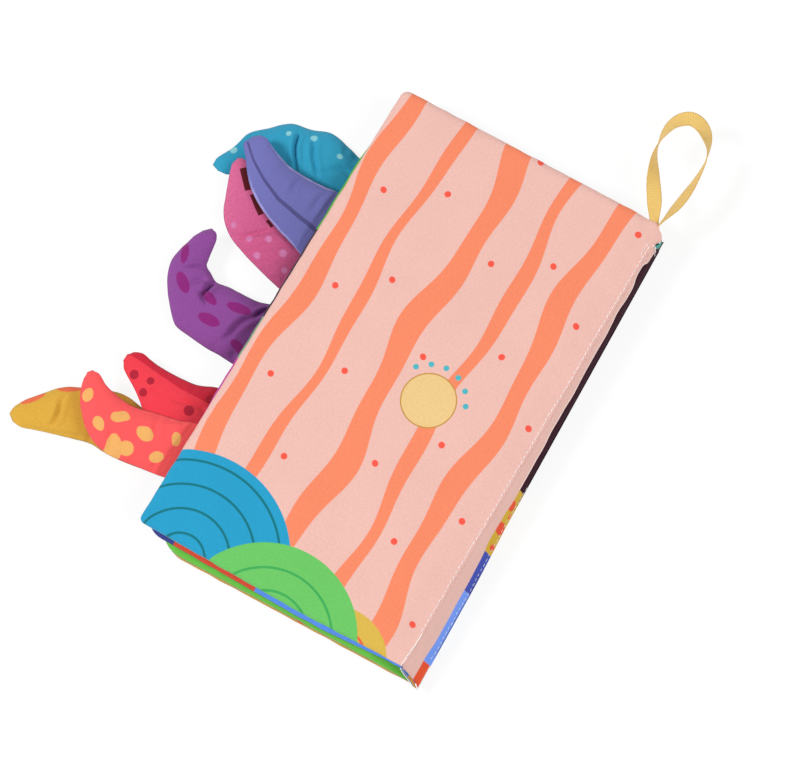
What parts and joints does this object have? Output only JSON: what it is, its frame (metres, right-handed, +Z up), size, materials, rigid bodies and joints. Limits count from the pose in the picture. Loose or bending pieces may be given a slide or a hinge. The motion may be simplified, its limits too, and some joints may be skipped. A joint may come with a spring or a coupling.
{
  "type": "crinkle cloth book",
  "caption": "Soft baby's cloth book lying closed, with padded crinkle leaves hinged at a sewn spine, stuffed tails along the fore edge and a ribbon loop.",
  "frame": {"origin": "middle of the underside of the whole object's bounding box, on the surface that the closed book lies on", "axes": "+Z up out of the back cover, +Y up the page towards the ribbon loop's end, +X towards the spine; the tails point to -X"},
  "size_m": [0.2202, 0.2874, 0.0204],
  "materials": {
    "back_cover_print": "matt printed polyester cloth, peach ground",
    "navy_page_print": "matt printed polyester cloth, navy and blue",
    "red_page_print": "matt printed polyester cloth, warm red",
    "green_page_print": "matt printed polyester cloth, green",
    "blue_page_print": "matt printed polyester cloth, blue",
    "ochre_page_print": "matt printed polyester cloth, ochre",
    "front_cover_print": "matt printed polyester cloth, dark maroon with yellow and blue blocks",
    "spine_print": "matt printed polyester cloth, peach running into darker patches",
    "wadding": "white needled polyester wadding",
    "crinkle_film": "thin crackling plastic film",
    "sewing_thread": "white polyester thread",
    "grosgrain_ribbon": "ribbed yellow grosgrain",
    "teal_tail_print": "matt printed cloth, teal with pale dots",
    "violet_tail_print": "matt printed cloth, violet with a dark middle stripe",
    "pink_tail_print": "matt printed cloth, pink with pale dots",
    "purple_tail_print": "matt printed cloth, purple with magenta spots",
    "red_tail_print": "matt printed cloth, red with darker dots",
    "coral_tail_print": "matt printed cloth, coral with pale orange blobs",
    "yellow_tail_print": "matt printed cloth, yellow with orange patches"
  },
  "bodies": {
    "front_cover": {"front_cover_outer_panel": "front_cover_print", "front_cover_inner_panel": "ochre_page_print", "front_cover_wadding": "wadding", "front_cover_crinkle_film": "crinkle_film"},
    "front_page": {"front_page_outer_panel": "blue_page_print", "front_page_inner_panel": "green_page_print", "front_page_wadding": "wadding", "front_page_crinkle_film": "crinkle_film"},
    "back_page": {"back_page_outer_panel": "red_page_print", "back_page_inner_panel": "navy_page_print", "back_page_wadding": "wadding", "back_page_crinkle_film": "crinkle_film"},
    "back_cover": {"back_cover_outer_panel": "back_cover_print", "back_cover_inner_panel": "blue_page_print", "back_cover_wadding": "wadding", "back_cover_crinkle_film": "crinkle_film", "upper_stitching": "sewing_thread"},
    "spine": {"spine_cover_strip": "spine_print", "spine_page_strip": "green_page_print", "spine_lining_strip": "blue_page_print", "lower_stitching": "sewing_thread"},
    "teal_tail": {"teal_tail_top_panel": "teal_tail_print", "teal_tail_under_panel": "teal_tail_print", "teal_tail_filling": "wadding"},
    "violet_tail": {"violet_tail_top_panel": "violet_tail_print", "violet_tail_under_panel": "violet_tail_print", "violet_tail_filling": "wadding"},
    "pink_tail": {"pink_tail_top_panel": "pink_tail_print", "pink_tail_under_panel": "pink_tail_print", "pink_tail_filling": "wadding"},
    "purple_tail": {"purple_tail_top_panel": "purple_tail_print", "purple_tail_under_panel": "purple_tail_print", "purple_tail_filling": "wadding"},
    "red_tail": {"red_tail_top_panel": "red_tail_print", "red_tail_under_panel": "red_tail_print", "red_tail_filling": "wadding"},
    "coral_tail": {"coral_tail_top_panel": "coral_tail_print", "coral_tail_under_panel": "coral_tail_print", "coral_tail_filling": "wadding"},
    "yellow_tail": {"yellow_tail_top_panel": "yellow_tail_print", "yellow_tail_under_panel": "yellow_tail_print", "yellow_tail_filling": "wadding"},
    "hanging_loop": {"ribbon_loop": "grosgrain_ribbon"}
  },
  "joints": [
    {"name": "front_page_turn", "type": "hinge", "parent": "front_cover", "child": "front_page", "pos_m": [0.10697, -0.02526, 0.004], "axis": [-0.0244, 0.9997, 0], "range_deg": [0, 180]},
    {"name": "spine_lay_flat", "type": "hinge", "parent": "front_page", "child": "spine", "pos_m": [0.10697, -0.02526, 0.004], "axis": [0.0244, -0.9997, 0], "range_deg": [-90, 0]},
    {"name": "back_page_turn", "type": "hinge", "parent": "spine", "child": "back_page", "pos_m": [0.10297, -0.02526, 0.016], "axis": [0, -1, 0], "range_deg": [-180, 0]},
    {"name": "back_cover_turn", "type": "hinge", "parent": "back_page", "child": "back_cover", "pos_m": [0.10297, -0.02526, 0.016], "axis": [0, 1, 0], "range_deg": [0, 180]},
    {"name": "teal_tail_flap", "type": "hinge", "parent": "front_cover", "child": "teal_tail", "pos_m": [-0.02623, 0.04471, 0.0022], "axis": [-0.0244, 0.9997, 0], "range_deg": [-75, 0]},
    {"name": "violet_tail_flap", "type": "hinge", "parent": "back_page", "child": "violet_tail", "pos_m": [-0.02988, 0.01524, 0.012], "axis": [0, 1, 0], "range_deg": [0, 40]},
    {"name": "pink_tail_flap", "type": "hinge", "parent": "front_page", "child": "pink_tail", "pos_m": [-0.02592, -0.0088, 0.0071], "axis": [-0.0244, 0.9997, 0], "range_deg": [-45, 0]},
    {"name": "purple_tail_flap", "type": "hinge", "parent": "front_page", "child": "purple_tail", "pos_m": [-0.02514, -0.04079, 0.0071], "axis": [-0.0244, 0.9997, 0], "range_deg": [-45, 0]},
    {"name": "red_tail_flap", "type": "hinge", "parent": "front_page", "child": "red_tail", "pos_m": [-0.02421, -0.07878, 0.0071], "axis": [-0.0244, 0.9997, 0], "range_deg": [-45, 0]},
    {"name": "coral_tail_flap", "type": "hinge", "parent": "back_page", "child": "coral_tail", "pos_m": [-0.02988, -0.10376, 0.012], "axis": [0, 1, 0], "range_deg": [0, 40]},
    {"name": "yellow_tail_flap", "type": "hinge", "parent": "front_cover", "child": "yellow_tail", "pos_m": [-0.02252, -0.10674, 0.0022], "axis": [-0.0244, 0.9997, 0], "range_deg": [-75, 0]},
    {"name": "loop_flap", "type": "hinge", "parent": "back_cover", "child": "hanging_loop", "pos_m": [0.09917, 0.09019, 0.0169], "axis": [1, 0, 0], "range_deg": [-60, 70]}
  ]
}
